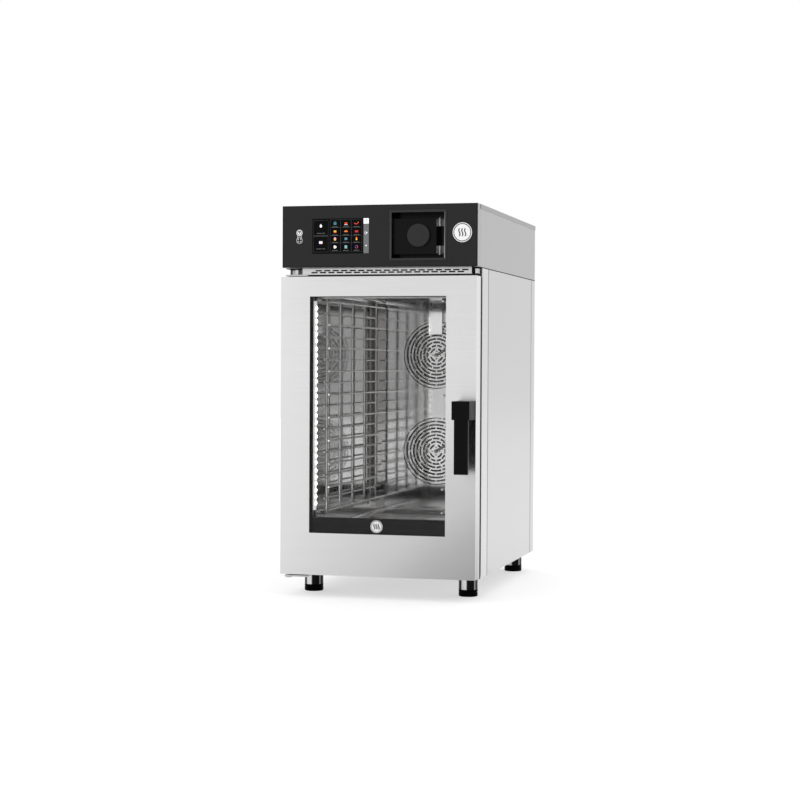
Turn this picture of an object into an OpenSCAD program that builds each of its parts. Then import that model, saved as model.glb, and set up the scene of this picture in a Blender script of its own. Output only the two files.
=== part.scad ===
// Compact ten-level combi steamer oven, counter-top, door hinged on the left.
// +X right, +Y towards the back, +Z up; the feet stand on z = 0.
// Heights and widths are measured from the floor and the centre plane.
// Depths are measured from the front face of the door (depth 0) and every
// helper shifts them so that the whole oven is centred on y = 0.

/* [Body] */
// Width over the side panels
body_w = 519; // [500:1:560]
// Depth from the door face to the rear panel
body_d = 803; // [780:1:850]
// Height of the top cover above the floor
body_h = 1014; // [1000:1:1060]
// Underside of the body above the floor
base_z = 54; // [48:1:70]
// Thickness of the stainless panels
sheet = 1.5; // [1:0.1:2]
// Height of the seam between lower body and upper housing
seam_z = 853.4; // [850:0.1:858]
// Depth of the vertical seams in the side: front strip and rear strip
seam_y = [144, 753]; // [100:1:780]

/* [Door] */
// Thickness of the door
door_t = 52; // [46:1:54]
// Height of the door's lower edge
door_z0 = 57.8; // [56:0.1:62]
// Height of the door's upper edge
door_z1 = 830.2; // [820:0.1:832]
// Half width of the window opening
window_x = 181; // [160:1:190]
// Lower and upper edge of the window opening
window_z = [167, 779]; // [150:1:790]
// Distance of the hinge axis from the door's left edge
hinge_in = 14.5; // [12:0.5:16]
// Number of lamp groups in the door
led_groups = 5; // [3:1:5]
// Number of lamps in each group
led_per_group = 6; // [4:1:6]

/* [Handle] */
// Centre of the handle block across the door
handle_x = 235; // [225:1:238]
// Height of the handle's pivot
handle_z = 489.5; // [400:0.5:600]
// How far the handle stands out from the door
handle_reach = 69; // [50:1:75]
// Length of the lever below the pivot
lever_len = 160; // [120:1:190]

/* [Cavity] */
// Clear width inside the cavity
cavity_w = 364; // [358:1:370]
// Floor and ceiling height of the cavity
cavity_z = [166, 795]; // [160:1:800]
// Depth of the cavity's back wall
cavity_back = 708; // [700:1:710]
// Depth of the fan baffle
baffle_y = 648; // [646:1:652]
// Heights of the two fan axes
fan_z = [352, 632]; // [340:1:640]
// Number of tray levels
levels = 10; // [5:1:10]
// Height of one tray level
level_pitch = 60.9; // [55:0.1:61]
// Height of the lowest support wire
level_z0 = 220; // [215:1:225]

/* [Control panel] */
// Depth of the panel face behind the door face
panel_y = 9; // [6:1:14]
// Left, right edge of the display
display_x = [-178, -26]; // [-200:1:0]
// Lower, upper edge of the display
display_z = [889.5, 980]; // [880:0.5:995]
// Left, right edge of the knob recess
niche_x = [34, 173]; // [30:1:180]
// Lower, upper edge of the knob recess
niche_z = [876, 993]; // [870:1:1000]
// Radius of the selector knob
knob_r = 29.5; // [20:0.5:32]

/* [Services] */
// How far the drain stands out behind the rear panel
rear_reach = 42; // [30:1:60]
// Radius of a water inlet's G3/4 thread
inlet_r = 13.2; // [13.1:0.05:13.3]
// Outer radius of the drain pipe
drain_r = 20; // [16:0.5:20]
// Outer radius of the vent outlet
vent_r = 25; // [20:0.5:26]

/* [Hidden] */

$fn = 48;
mid_y = (body_d + rear_reach - handle_reach) / 2;
half_w = body_w / 2;
inner_w = half_w - sheet;
front_y = 72.5;                       // face of the front frame
pan_h = 30;                           // height of the base pan's rim
panel_back = 43;                      // depth where the upper housing starts
panel_z = seam_z + 0.7;               // lower edge of the control panel
rim = 12;                             // height of the top cover's flange
cover_screw_x = [-215, 0, 215];
play = 0.3;                           // clearance between separate pieces
run = 0.05;                           // radial clearance of a running fit
pin_r = 6;                            // door hinge pins
hinge_x = -half_w + hinge_in;
hinge_y = door_t / 2;
shaft_r = 5;                          // fan shafts
wall = 2;                             // cavity sheet
heater_r = 104;
heater_leg_z = sqrt(pow(heater_r, 2) - pow(30, 2));
wool_back = cavity_back + 27;         // rear face of the insulation
motor_y = cavity_back + 34;           // front of the fan motors
cav_x = cavity_w / 2;
niche_mid = [(niche_x[0] + niche_x[1]) / 2, (niche_z[0] + niche_z[1]) / 2];
knob_face = 12;                       // depth of the knob's face
knob_back = 21;
plate_front = 23;                     // raised plate behind the knob
tray_back = 54;                       // depth of the slot beside it
foot_x = 211;
foot_y = [141, 745];
foot_base = 18;                       // height of the black foot pad
foot_r = 25;
neck_r = 20.95;
foot_neck = 31;
drain_at = [0, 330, 112];             // floor drain, then the pipe's height
vent_at = [-120, 560, 935];
inlet_at = [150, 200];
service_z = 112;
gland_at = [-190, service_z];
stud_at = [-140, service_z];
cooler_at = [130, 930];
flap_y = 700;
led_x = [-window_x - 1, -window_x + 9];
led_y = 28;                           // depth of the lamp bar in the door
led_z = [232, 760];
led_pitch = 17;

// ---------- helpers ----------

// Range from one offset to another beside a centre, and equally about it
function span(c, lo, hi) = [c + lo, c + hi];
function around(c, r) = [c - r, c + r];

// Block between two points on each axis
module slab(x, y, z)
    translate([x[0], y[0] - mid_y, z[0]])
        cube([x[1] - x[0], y[1] - y[0], z[1] - z[0]]);

// Round bars along each axis
module rod_y(x, z, r, y)
    translate([x, y[0] - mid_y, z]) rotate([-90, 0, 0])
        cylinder(r = r, h = y[1] - y[0]);
module rod_x(x, y, z, r)
    translate([x[0], y - mid_y, z]) rotate([0, 90, 0])
        cylinder(r = r, h = x[1] - x[0]);
module rod_z(x, y, r, z)
    translate([x, y - mid_y, z[0]]) cylinder(r = r, h = z[1] - z[0]);

// Outline drawn in x and z, extruded between two depths
module along_y(y)
    translate([0, y[1] - mid_y, 0]) rotate([90, 0, 0])
        linear_extrude(y[1] - y[0]) children();

// Outline drawn as radius and height, turned about an axis along Y
module turned_y(x, z, y)
    translate([x, y - mid_y, z]) rotate([-90, 0, 0])
        rotate_extrude() children();

module rect(x, z) translate([x[0], z[0]]) square([x[1] - x[0], z[1] - z[0]]);

module round_rect(x, z, r) {
    rect([x[0] + r, x[1] - r], z);
    rect(x, [z[0] + r, z[1] - r]);
    for (cx = [x[0] + r, x[1] - r], cz = [z[0] + r, z[1] - r])
        translate([cx, cz]) circle(r);
}

// Frame: outline with a window in it
module window_frame(x, z, hole_x, hole_z, y)
    along_y(y) difference() {
        rect(x, z);
        rect(hole_x, hole_z);
    }

// Row of upright louvre slots to cut from a panel
module louvres(x, z, count, w, y)
    for (i = [0 : count - 1])
        slab([x[0], x[0] + w] + [1, 1] * i * (x[1] - x[0] - w) / (count - 1),
            y, z);

// ---------- body ----------

module base_pan() color("lightgray") difference() {
    union() {
        slab([-inner_w + 1, inner_w - 1], [76, body_d - 3], [base_z, base_z + sheet]);
        for (s = [-1, 1])
            slab(s > 0 ? [inner_w - 1 - sheet, inner_w - 1]
                       : [1 - inner_w, 1 - inner_w + sheet],
                [76, body_d - 3], [base_z, base_z + pan_h]);
        for (y = [76, body_d - 3 - sheet])
            slab([-inner_w + 1, inner_w - 1], [y, y + sheet], [base_z, base_z + pan_h]);
    }
    for (i = [0 : 6])
        slab([-120, 120], [260 + 50 * i, 266 + 50 * i], [base_z - 1, base_z + 3]);
}

module leg_sleeves() color("silver")
    for (x = [-foot_x, foot_x], y = foot_y) difference() {
        rod_z(x, y, foot_r, [foot_base + 0.5, base_z]);
        rod_z(x, y, neck_r + run, [foot_base, base_z - 3]);
    }

module side_panel(s) color("gainsboro") {
    skin = s > 0 ? [inner_w, half_w] : [-half_w, -inner_w];
    fold = s > 0 ? [half_w - 14, half_w] : [-half_w, 14 - half_w];
    y = seam_y + [0.5, -0.5];
    z = [base_z, seam_z - 0.8];
    fold_z = [base_z + pan_h + 1, z[1]];
    slab(skin, y, z);
    slab(fold, y, [z[1] - sheet, z[1]]);
    slab(fold, [y[0], y[0] + sheet], fold_z);
    slab(fold, [y[1] - sheet, y[1]], fold_z);
}
module side_panel_left() side_panel(-1);
module side_panel_right() side_panel(1);

module front_frame() color("gainsboro") {
    z = [base_z, seam_z - 0.8];
    window_frame([-half_w, half_w], z, [-cav_x - 4, cav_x + 4],
        cavity_z + [-4, 4], [front_y, front_y + sheet]);
    for (s = [-1, 1])
        slab(s > 0 ? [inner_w, half_w] : [-half_w, -inner_w],
            [front_y, seam_y[0] - 0.4], z);
}

module rear_panel() color("lightgray") {
    z = [base_z, seam_z - 0.8];
    difference() {
        slab([-half_w, half_w], [body_d - sheet, body_d], z);
        rod_y(drain_at[0], drain_at[2], drain_r + play, [body_d - 3, body_d + 1]);
        for (x = inlet_at)
            rod_y(x, service_z, inlet_r + play, [body_d - 3, body_d + 1]);
        rod_y(gland_at[0], gland_at[1], 10.3, [body_d - 3, body_d + 1]);
        rod_y(stud_at[0], stud_at[1], 3.3, [body_d - 3, body_d + 1]);
        for (z0 = [300, 420, 540, 660])
            louvres([-190, 190], [z0, z0 + 70], 20, 6, [body_d - 3, body_d + 1]);
    }
    for (s = [-1, 1])
        slab(s > 0 ? [inner_w, half_w] : [-half_w, -inner_w],
            [seam_y[1] + 0.4, body_d - sheet - 0.1], z);
}

module upper_housing() color("gainsboro") {
    z = [seam_z + 0.8, body_h - sheet - 0.1];
    y = [panel_back + 0.5, body_d];
    for (s = [-1, 1])
        slab(s > 0 ? [inner_w, half_w] : [-half_w, -inner_w], y, z);
    difference() {
        slab([-half_w, half_w], [body_d - sheet, body_d], z);
        rod_y(vent_at[0], vent_at[2], vent_r + play, [body_d - 3, body_d + 1]);
        for (k = [-3 : 3])
            slab(around(cooler_at[0], 38 * sqrt(1 - pow(k / 4, 2))),
                [body_d - 3, body_d + 1], around(cooler_at[1] + 10 * k, 3));
    }
    difference() {
        slab([-half_w, half_w], [front_y + 4, body_d], [z[0], z[0] + sheet]);
        rod_z(vent_at[0], vent_at[1], vent_r + play, z + [-1, 1]);
    }
}

module top_cover() color("gainsboro") {
    x = half_w + 1;
    y = [panel_back + 0.5, body_d + 1];
    difference() {
        slab([-x, x], y, [body_h - sheet, body_h]);
        for (sx = cover_screw_x)
            rod_z(sx, 62, 2.2, [body_h - 3, body_h + 1]);
    }
    for (s = [-1, 1])
        slab(s > 0 ? [x - 0.9, x] : [-x, 0.9 - x], y, [body_h - rim, body_h]);
    slab([-x, x], [y[1] - 0.9, y[1]], [body_h - rim, body_h]);
}

module cover_screws() color("silver")
    for (x = cover_screw_x) {
        rod_z(x, 62, 4.5, [body_h, body_h + 2]);
        rod_z(x, 62, 2, [body_h - 8, body_h + 1]);
    }

module vent_strip() color("lightgray") {
    x = [-214, 238];
    z = [837, 853.2];
    pitch = 23;
    difference() {
        slab(x, [40, 41.2], z);
        for (i = [0 : 17], row = [0, 1])
            slab(span(-190 + pitch * (i + row / 2), 0, 17), [39, 42],
                span(z[0] + 3.6 + 5 * row, 0, 3.6));
    }
    slab(x, [40, front_y - play], [z[1] - 1.2, z[1]]);
    slab(x, [40, front_y - play], [z[0], z[0] + 1.2]);
    for (tab = [-236, 246])
        slab([tab, tab + 8], [46, front_y - 4], [838, 850]);
}

// ---------- control panel ----------

module panel_frame() color("gainsboro") {
    y = [panel_y + 0.4, panel_back];
    window_frame([-half_w, half_w], [panel_z, body_h],
        [2 - half_w, half_w - 2], [panel_z + 2, body_h - 2], y);
}

module control_panel() color([0.12, 0.12, 0.13])
    along_y([panel_y, panel_y + 4]) difference() {
        rect([2.2 - half_w, half_w - 2.2], [panel_z + 2.2, body_h - 2.2]);
        rect(display_x, display_z);
        rect(niche_x, niche_z);
    }

module display() color([0.05, 0.06, 0.08]) {
    slab(display_x + [0.2, -0.2], [panel_y + 0.2, panel_y + 8],
        display_z + [0.2, -0.2]);
    slab(display_x + [-6, 6], [panel_y + 4.2, panel_y + 12],
        display_z + [-6, 6]);
}

module badge() color("white")
    rod_y(220, 940, 25, [panel_y - 1.2, panel_y]);

module niche_bezel() color([0.2, 0.2, 0.21])
    window_frame(niche_x + [-6, 6], niche_z + [-6, 6], niche_x, niche_z,
        [panel_y - 1.5, panel_y]);

module niche_tray() color([0.06, 0.06, 0.07]) difference() {
    union() {
        window_frame(niche_x + [-2, 2], niche_z + [-2, 2], niche_x, niche_z,
            [panel_y + 4, tray_back]);
        slab(niche_x + [-2, 2], [tray_back, tray_back + 2], niche_z + [-2, 2]);
        slab([niche_x[0], niche_x[0] + 115], [plate_front, tray_back],
            niche_z + [11, -15]);
        for (z = [niche_z[0] + 13, niche_z[1] - 30])
            slab([niche_x[1] - 24, niche_x[1]], [tray_back - 8, tray_back],
                [z, z + 16]);
    }
    rod_y(niche_mid[0], niche_mid[1], 4, [plate_front - 1, tray_back + 3]);
}

module encoder() color("darkgreen") difference() {
    slab(around(niche_mid[0], 15), [tray_back + 2, tray_back + 22],
        around(niche_mid[1], 15));
    rod_y(niche_mid[0], niche_mid[1], 3 + run, [tray_back, tray_back + 18]);
}

module knob_shaft() color("silver")
    rod_y(niche_mid[0], niche_mid[1], 3, [knob_face + 4.5, tray_back + 14]);

module knob() color([0.2, 0.2, 0.2]) difference() {
    turned_y(niche_mid[0], niche_mid[1], knob_face) {
        translate([0, 0]) square([knob_r - 2, knob_back - knob_face]);
        translate([0, 2]) square([knob_r, knob_back - knob_face - 2]);
        translate([knob_r - 2, 2]) intersection() {
            circle(2);
            square([2, 4], center = true);
        }
    }
    rod_y(niche_mid[0], niche_mid[1], 3 + run, [knob_face + 4, knob_back + 1]);
}

module control_board() color("darkgreen") {
    slab([-205, 5], [58, 60], [872, 1000]);
    for (i = [0 : 5], j = [0 : 2])
        slab(span(-195 + 33 * i, 0, 12 + 5 * j), [60, 66 + 4 * j],
            span(884 + 38 * j, 0, 14));
    for (i = [0 : 3]) rod_y(-180 + 40 * i, 985, 6, [60, 82]);
    for (x = [-200, 0], z = [877, 995]) rod_y(x, z, 3, [25, 58]);
}

module cooling_fan_frame() color("dimgray") {
    x = cooler_at[0];
    z = cooler_at[1];
    y = [body_d - sheet - 26, body_d - sheet];
    difference() {
        slab(around(x, 46), y, around(z, 46));
        rod_y(x, z, 42, [y[0] - 1, y[1] + 1]);
    }
    for (a = [45, 135])
        translate([x, y[0] - mid_y + 2, z]) rotate([0, a, 0])
            cube([90, 4, 5], center = true);
    rod_y(x, z, 14, [y[0], y[0] + 4]);
    rod_y(x, z, 2, [y[0], y[1] - 4]);
}

module cooling_fan_rotor() color([0.1, 0.1, 0.1]) {
    y = [body_d - sheet - 21.5, body_d - sheet - 6];
    difference() {
        rod_y(cooler_at[0], cooler_at[1], 16, y);
        rod_y(cooler_at[0], cooler_at[1], 2 + run, [y[0] - 1, y[1] + 1]);
    }
    for (i = [0 : 6])
        translate([cooler_at[0], (y[0] + y[1]) / 2 - mid_y, cooler_at[1]])
            rotate([0, i * 360 / 7, 0]) translate([27, 0, 0])
                rotate([35, 0, 0]) cube([25, 1.5, 14], center = true);
}

// ---------- cavity ----------

module cavity_shell() color("silver") difference() {
    union() {
        along_y([front_y - 2, cavity_back]) difference() {
            round_rect([-cav_x - wall, cav_x + wall],
                cavity_z + [-wall, wall], 14);
            round_rect([-cav_x, cav_x], cavity_z, 12);
        }
        along_y([cavity_back, cavity_back + wall])
            round_rect([-cav_x - wall, cav_x + wall],
                cavity_z + [-wall, wall], 14);
    }
    for (z = fan_z) {
        rod_y(0, z, 14, [cavity_back - 1, cavity_back + 3]);
        for (s = [-1, 1])
            rod_y(s * 30, z + heater_leg_z, 3.3, [cavity_back - 1, cavity_back + 3]);
    }
    rod_z(drain_at[0], drain_at[1], drain_r - 2, [cavity_z[0] - 5, cavity_z[0] + 5]);
    rod_z(vent_at[0], vent_at[1], vent_r - 3, [cavity_z[1] - 5, cavity_z[1] + 5]);
}

module insulation() color([0.75, 0.7, 0.5]) difference() {
    along_y([front_y + 4, wool_back])
        rect([-cav_x - 33, cav_x + 33], cavity_z + [-33, 33]);
    along_y([front_y, cavity_back + wall + play])
        rect([-cav_x - 2.5, cav_x + 2.5], cavity_z + [-2.5, 2.5]);
    for (z = fan_z) rod_y(0, z, 36, [cavity_back, motor_y]);
    for (z = fan_z, s = [-1, 1])
        rod_y(s * 30, z + heater_leg_z, 6, [cavity_back, motor_y]);
    rod_z(drain_at[0], drain_at[1], drain_r + play, [cavity_z[0] - 40, cavity_z[0]]);
    rod_z(vent_at[0], vent_at[1], vent_r + play, [cavity_z[1], cavity_z[1] + 40]);
}

// Side rack: posts, wall rails, and support and guide wires at each level
module rack(s) color("silver") {
    post_x = s * 166;
    support_x = s * 153;
    top_z = level_z0 + level_pitch * (levels - 1) + 10;
    for (y = [104 : 121 : 588]) {
        rod_z(post_x, y, 3.5, [level_z0 - 12, top_z]);
        for (i = [0 : levels - 1])
            rod_x(s > 0 ? [support_x, post_x] : [post_x, support_x], y,
                level_z0 + level_pitch * i, 2.2);
    }
    for (i = [0 : levels - 1])
        rod_y(support_x, level_z0 + level_pitch * i, 2.5, [80, 640]);
    for (i = [0 : levels - 2])
        rod_y(post_x, level_z0 + level_pitch * (i + 0.5), 2.5, [80, 640]);
    for (z = [level_z0 - 12, top_z - 8])
        slab(s > 0 ? [post_x, cav_x] : [-cav_x, post_x], [88, 500], [z, z + 8]);
}
module rack_left() rack(-1);
module rack_right() rack(1);

// Outline of one fan's air grille: rings of staggered slots, the outer one thin
module grille_holes(z)
    translate([0, z]) {
        for (i = [0 : 8]) {
            r = 17.6 + 9.9 * i;
            half = i < 8 ? 2.6 : 1.3;
            n = i == 0 ? 4 : 10;
            gap = i == 0 ? 10 : 3.6;
            difference() {
                circle(r + half);
                circle(r - half);
                for (k = [0 : n - 1])
                    rotate(360 * (k + (i % 2) / 2) / n)
                        translate([r, 0]) square([7, gap], center = true);
            }
        }
        for (k = [0 : 3]) rotate(90 * k) translate([11, 0]) circle(1.9);
    }

module fan_baffle() color("silver") {
    x = 154;
    z = [cavity_z[0] + 25, cavity_z[1] - 5];
    along_y([baffle_y, baffle_y + sheet]) difference() {
        rect([-x, x], z);
        for (fz = fan_z) grille_holes(fz);
    }
    for (s = [-1, 1])
        slab(s > 0 ? [x - sheet, x] : [-x, sheet - x],
            [baffle_y, baffle_y + 30], z);
    for (s = [-1, 1], bz = [z[0] + 20, z[1] - 20])
        rod_y(s * 140, bz, 5, [baffle_y, cavity_back]);
}

// Radial fan with back plate, front ring and blades, on its motor shaft
module fan_wheel(z) color("silver") {
    rod_y(0, z, 88, span(baffle_y, 47, 49));
    difference() {
        rod_y(0, z, 88, span(baffle_y, 11, 13));
        rod_y(0, z, 76, span(baffle_y, 10, 14));
    }
    rod_y(0, z, 16, span(baffle_y, 23, 51));
    rod_y(0, z, shaft_r, [baffle_y + 17, motor_y + 30]);
    for (i = [0 : 19])
        translate([0, baffle_y + 30 - mid_y, z]) rotate([0, 18 * i, 0])
            translate([75, 0, 0]) cube([22, 36, 1.5], center = true);
}
module fan_wheel_upper() fan_wheel(fan_z[1]);
module fan_wheel_lower() fan_wheel(fan_z[0]);

// Pair of tubular heating rings with two legs through the back wall
module heater(z) color([0.35, 0.33, 0.32]) {
    for (y = span(baffle_y, 19, 41))
        translate([0, y - mid_y, z]) rotate([-90, 0, 0])
            rotate_extrude() translate([heater_r, 0]) circle(4);
    for (s = [-1, 1])
        rod_y(s * 30, z + heater_leg_z, 3, [baffle_y + 19, wool_back - 2]);
}
module heater_upper() heater(fan_z[1]);
module heater_lower() heater(fan_z[0]);

module motor(z) color("gray") difference() {
    union() {
        rod_y(0, z, 52, span(motor_y, 0, 54));
        for (i = [0 : 4]) rod_y(0, z, 56, span(motor_y, 6 + 10 * i, 10 + 10 * i));
        rod_y(0, z, 26, [cavity_back + wall + play, motor_y]);
        slab([-70, 70], span(motor_y, -5, 0), around(z, 20));
    }
    rod_y(0, z, shaft_r + run, [cavity_back, motor_y + 34]);
}
module motor_upper() motor(fan_z[1]);
module motor_lower() motor(fan_z[0]);

module injector_tubes() color("silver")
    for (z = fan_z) translate([0, baffle_y - 3.5 - mid_y, z]) {
        rotate([0, -32, 0]) rotate([0, 90, 0]) cylinder(r = 3.2, h = 106);
        rotate([-90, 0, 0]) translate([0, 0, -1]) cylinder(r = 6, h = 4.3);
        rotate([0, -32, 0]) translate([102, 0, 0])
            rotate([-90, 0, 0]) cylinder(r = 3.1, h = 3.3);
    }

module vent_chute() color("lightgray") difference() {
    y = [baffle_y - 16, baffle_y];
    slab([-20, 20], y, [cavity_z[1] - 103, cavity_z[1]]);
    slab([-18.5, 18.5], y + [1.5, -1.5], [cavity_z[1] - 104, cavity_z[1] - 4]);
    slab([-16.3, 16.3], y + [-1, -10], around(cavity_z[1] - 22.5, 11.5));
}

module floor_filter() color("gray") difference() {
    rod_z(drain_at[0], drain_at[1], 32, [cavity_z[0], cavity_z[0] + 3]);
    for (ring = [1 : 3], k = [0 : 6 * ring - 1])
        rod_z(drain_at[0] + 8 * ring * cos(60 * k / ring),
            drain_at[1] + 8 * ring * sin(60 * k / ring), 2,
            [cavity_z[0] - 1, cavity_z[0] + 4]);
}

// Bent pipe: riser, horizontal run and a wider spigot behind the rear panel
module bent_pipe(at, r, riser_z, reach) difference() {
    t = 1.5;
    union() {
        rod_z(at[0], at[1], r - 2, riser_z);
        rod_y(at[0], at[2], r - 1, [at[1] - r, body_d + 3]);
        rod_y(at[0], at[2], r, [body_d + 2, body_d + reach]);
    }
    rod_z(at[0], at[1], r - 2 - t, riser_z + (riser_z[1] > at[2] ? [0, 1] : [-1, 0]));
    rod_y(at[0], at[2], r - 1 - t, [at[1] - r + t, body_d + reach + 1]);
}

module drain_pipe() color("gray")
    bent_pipe(drain_at, drain_r, [drain_at[2], cavity_z[0] - wall], rear_reach);

module exhaust_duct() color("lightgray") difference() {
    bent_pipe(vent_at, vent_r, [cavity_z[1] + wall, vent_at[2]], 32);
    rod_x(around(vent_at[0], 30), flap_y, vent_at[2], 2.5 + run);
}

module vent_flap() color("gray") {
    rod_y(vent_at[0], vent_at[2], vent_r - 3, [flap_y - 0.8, flap_y + 0.8]);
    rod_x(span(vent_at[0], -vent_r - 10, vent_r + 3), flap_y, vent_at[2], 2.5);
    slab(span(vent_at[0] - vent_r, -10, -7), around(flap_y, 4),
        span(vent_at[2], -22, 4));
}

module water_inlets() color("goldenrod")
    for (x = inlet_at) difference() {
        union() {
            rod_y(x, service_z, inlet_r, [body_d - 8, body_d + 22]);
            rod_y(x, service_z, 17, [body_d, body_d + 2]);
            slab(around(x, 18), [body_d - 48, body_d - 8],
                span(service_z, -18, 30));
        }
        rod_y(x, service_z, 9, [body_d - 40, body_d + 23]);
    }

module cable_gland() color([0.15, 0.15, 0.15]) difference() {
    union() {
        rod_y(gland_at[0], gland_at[1], 10, [body_d - 8, body_d + 8]);
        translate([gland_at[0], body_d - mid_y, gland_at[1]])
            rotate([-90, 0, 0]) cylinder(r = 15, h = 6, $fn = 6);
        rod_y(gland_at[0], gland_at[1], 12.5, [body_d + 6, body_d + 18]);
        rod_y(gland_at[0], gland_at[1], 10, [body_d + 18, body_d + 23]);
        translate([gland_at[0], body_d - sheet - 5 - mid_y, gland_at[1]])
            rotate([-90, 0, 0]) cylinder(r = 14, h = 5, $fn = 6);
    }
    rod_y(gland_at[0], gland_at[1], 6, [body_d - 9, body_d + 24]);
}

module ground_stud() color("goldenrod") {
    rod_y(stud_at[0], stud_at[1], 3, [body_d - 8, body_d + 16]);
    for (y = [body_d, body_d - sheet - 5])
        translate([stud_at[0], y - mid_y, stud_at[1]]) rotate([-90, 0, 0])
            cylinder(r = 5.8, h = 5, $fn = 6);
}

// ---------- front ----------

module gasket() color([0.08, 0.08, 0.08]) {
    x = cav_x + 20;
    z = cavity_z + [-20, 20];
    window_frame([-x, x], z, [14 - x, x - 14], z + [14, -14],
        [door_t + 1.5, front_y]);
}

module latch_strike() color("silver") {
    slab(around(handle_x, 16), [front_y - 2, front_y], around(handle_z, 34));
    for (s = [-1, 1]) rod_y(handle_x, handle_z + 18 * s, 5, [58, front_y - 2]);
}

module hinge_lower() color("lightgray") {
    slab([-251, -191], [12, front_y - 0.2], [50, base_z]);
    slab([-251, -191], [front_y - 3.2, front_y - 0.2], [50, 64]);
    rod_z(hinge_x, hinge_y, pin_r, [50, door_z0 + 14]);
    rod_z(hinge_x, hinge_y, 8, [47, 50]);
}

module hinge_upper() color("lightgray") {
    slab([-251, -191], [12, front_y - 0.2], [832.4, 836]);
    slab([-251, -219], [front_y - 3.2, front_y - 0.2], [832.4, 850]);
    rod_z(hinge_x, hinge_y, pin_r, [door_z1 - 14, 836]);
}

// ---------- door ----------

module door_skin() color("gainsboro") {
    z = [door_z0, door_z1];
    back = door_t - 8;
    difference() {
        window_frame([-half_w, half_w], z, [-window_x, window_x], window_z,
            [0, sheet]);
        rod_y(handle_x, handle_z, 6 + run, [-1, sheet + 1]);
    }
    difference() {
        window_frame([-half_w, half_w], z, [sheet - half_w, half_w - sheet],
            z + [sheet, -sheet], [0, back]);
        rod_z(hinge_x, hinge_y, pin_r + run, z + [-1, 1]);
    }
}

module door_inner_frame() color("gainsboro") difference() {
    window_frame([-half_w, half_w], [door_z0, door_z1],
        [-window_x + 4, window_x - 4], window_z + [4, -4],
        [door_t - 8, door_t]);
    rod_y(handle_x, handle_z, 6 + run, [door_t - 9, door_t + 1]);
}

module door_bushes() color("goldenrod")
    for (z = [[door_z0 + sheet, door_z0 + 17], [door_z1 - 17, door_z1 - sheet]])
        difference() {
            slab([sheet - half_w, hinge_x + 12], around(hinge_y, 12), z);
            rod_z(hinge_x, hinge_y, pin_r + run, z + [-1, 1]);
        }

module outer_glass() color([0.6, 0.7, 0.75, 0.3])
    slab([-window_x - 8, window_x + 8], [sheet, sheet + 5],
        window_z + [-8, 8]);

module inner_glass() color([0.6, 0.7, 0.75, 0.3])
    slab([-window_x - 4, window_x + 4], [door_t - 13, door_t - 8],
        window_z + [-4, 4]);

module led_housing() color("whitesmoke")
    slab(led_x, around(led_y, 8), led_z + [-8, 8]);

module led_lenses() color("white")
    for (g = [0 : led_groups - 1], k = [0 : led_per_group - 1])
        translate([led_x[1], led_y - mid_y, led_z[0] + 10
                + g * (led_z[1] - led_z[0]) / led_groups + k * led_pitch])
            rotate([0, 90, 0]) cylinder(r1 = 6, r2 = 3.5, h = 3);

module handle_rosette() color([0.1, 0.1, 0.1]) difference() {
    rod_y(handle_x, handle_z, 21, [-4, 0]);
    rod_y(handle_x, handle_z, 6 + run, [-5, 1]);
}

module handle_lever() color([0.12, 0.12, 0.12]) {
    slab(around(handle_x, 23), [-handle_reach, -4.4], around(handle_z, 23.5));
    slab(span(handle_x, -16.5, 19.5), [-handle_reach, 11 - handle_reach],
        [handle_z - lever_len, handle_z - 20]);
}

module latch_spindle() color("silver") {
    rod_y(handle_x, handle_z, 6, [-4.4, door_t + 5]);
    along_y([door_t + 3, door_t + 13]) translate([handle_x, handle_z])
        intersection() {
            circle(11.5);
            square([14, 24], center = true);
        }
}

// ---------- levelling feet ----------

module foot(x, y) color([0.08, 0.08, 0.08])
    translate([x, y - mid_y, 0]) rotate_extrude() {
        square([foot_r - 3, 3]);
        translate([0, 3]) square([foot_r, 8]);
        translate([foot_r - 3, 3]) intersection() {
            circle(3);
            translate([0, -3]) square([3, 3]);
        }
        translate([0, 11]) square([foot_r - 1.5, 2]);
        translate([0, 13]) square([foot_r, foot_base - 13]);
        translate([0, foot_base]) square([neck_r, foot_neck]);
    }
module foot_front_left() foot(-foot_x, foot_y[0]);
module foot_front_right() foot(foot_x, foot_y[0]);
module foot_rear_left() foot(-foot_x, foot_y[1]);
module foot_rear_right() foot(foot_x, foot_y[1]);

// ---------- assembly ----------

base_pan();
leg_sleeves();
side_panel_left();
side_panel_right();
front_frame();
rear_panel();
upper_housing();
top_cover();
cover_screws();
panel_frame();
control_panel();
display();
badge();
niche_bezel();
niche_tray();
encoder();
control_board();
cooling_fan_frame();
cooling_fan_rotor();
vent_strip();
cavity_shell();
insulation();
rack_left();
rack_right();
fan_baffle();
fan_wheel_upper();
fan_wheel_lower();
heater_upper();
heater_lower();
motor_upper();
motor_lower();
injector_tubes();
vent_chute();
floor_filter();
drain_pipe();
exhaust_duct();
vent_flap();
water_inlets();
cable_gland();
ground_stud();
gasket();
latch_strike();
hinge_lower();
hinge_upper();
door_skin();
door_inner_frame();
door_bushes();
outer_glass();
inner_glass();
led_housing();
led_lenses();
handle_rosette();
handle_lever();
latch_spindle();
knob_shaft();
knob();
foot_front_left();
foot_front_right();
foot_rear_left();
foot_rear_right();
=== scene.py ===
"""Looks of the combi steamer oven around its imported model.

Every carried-over node gets a procedural material and softened edges, the
printed and lit details that are too fine for the frame become thin pieces, and
soft studio light and the camera come last. Places are worked out from the
frame. Lengths are metres, and those written in millimetres carry the MM factor.
"""

import math

import bmesh
import bpy
from mathutils import Matrix, Vector


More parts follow.
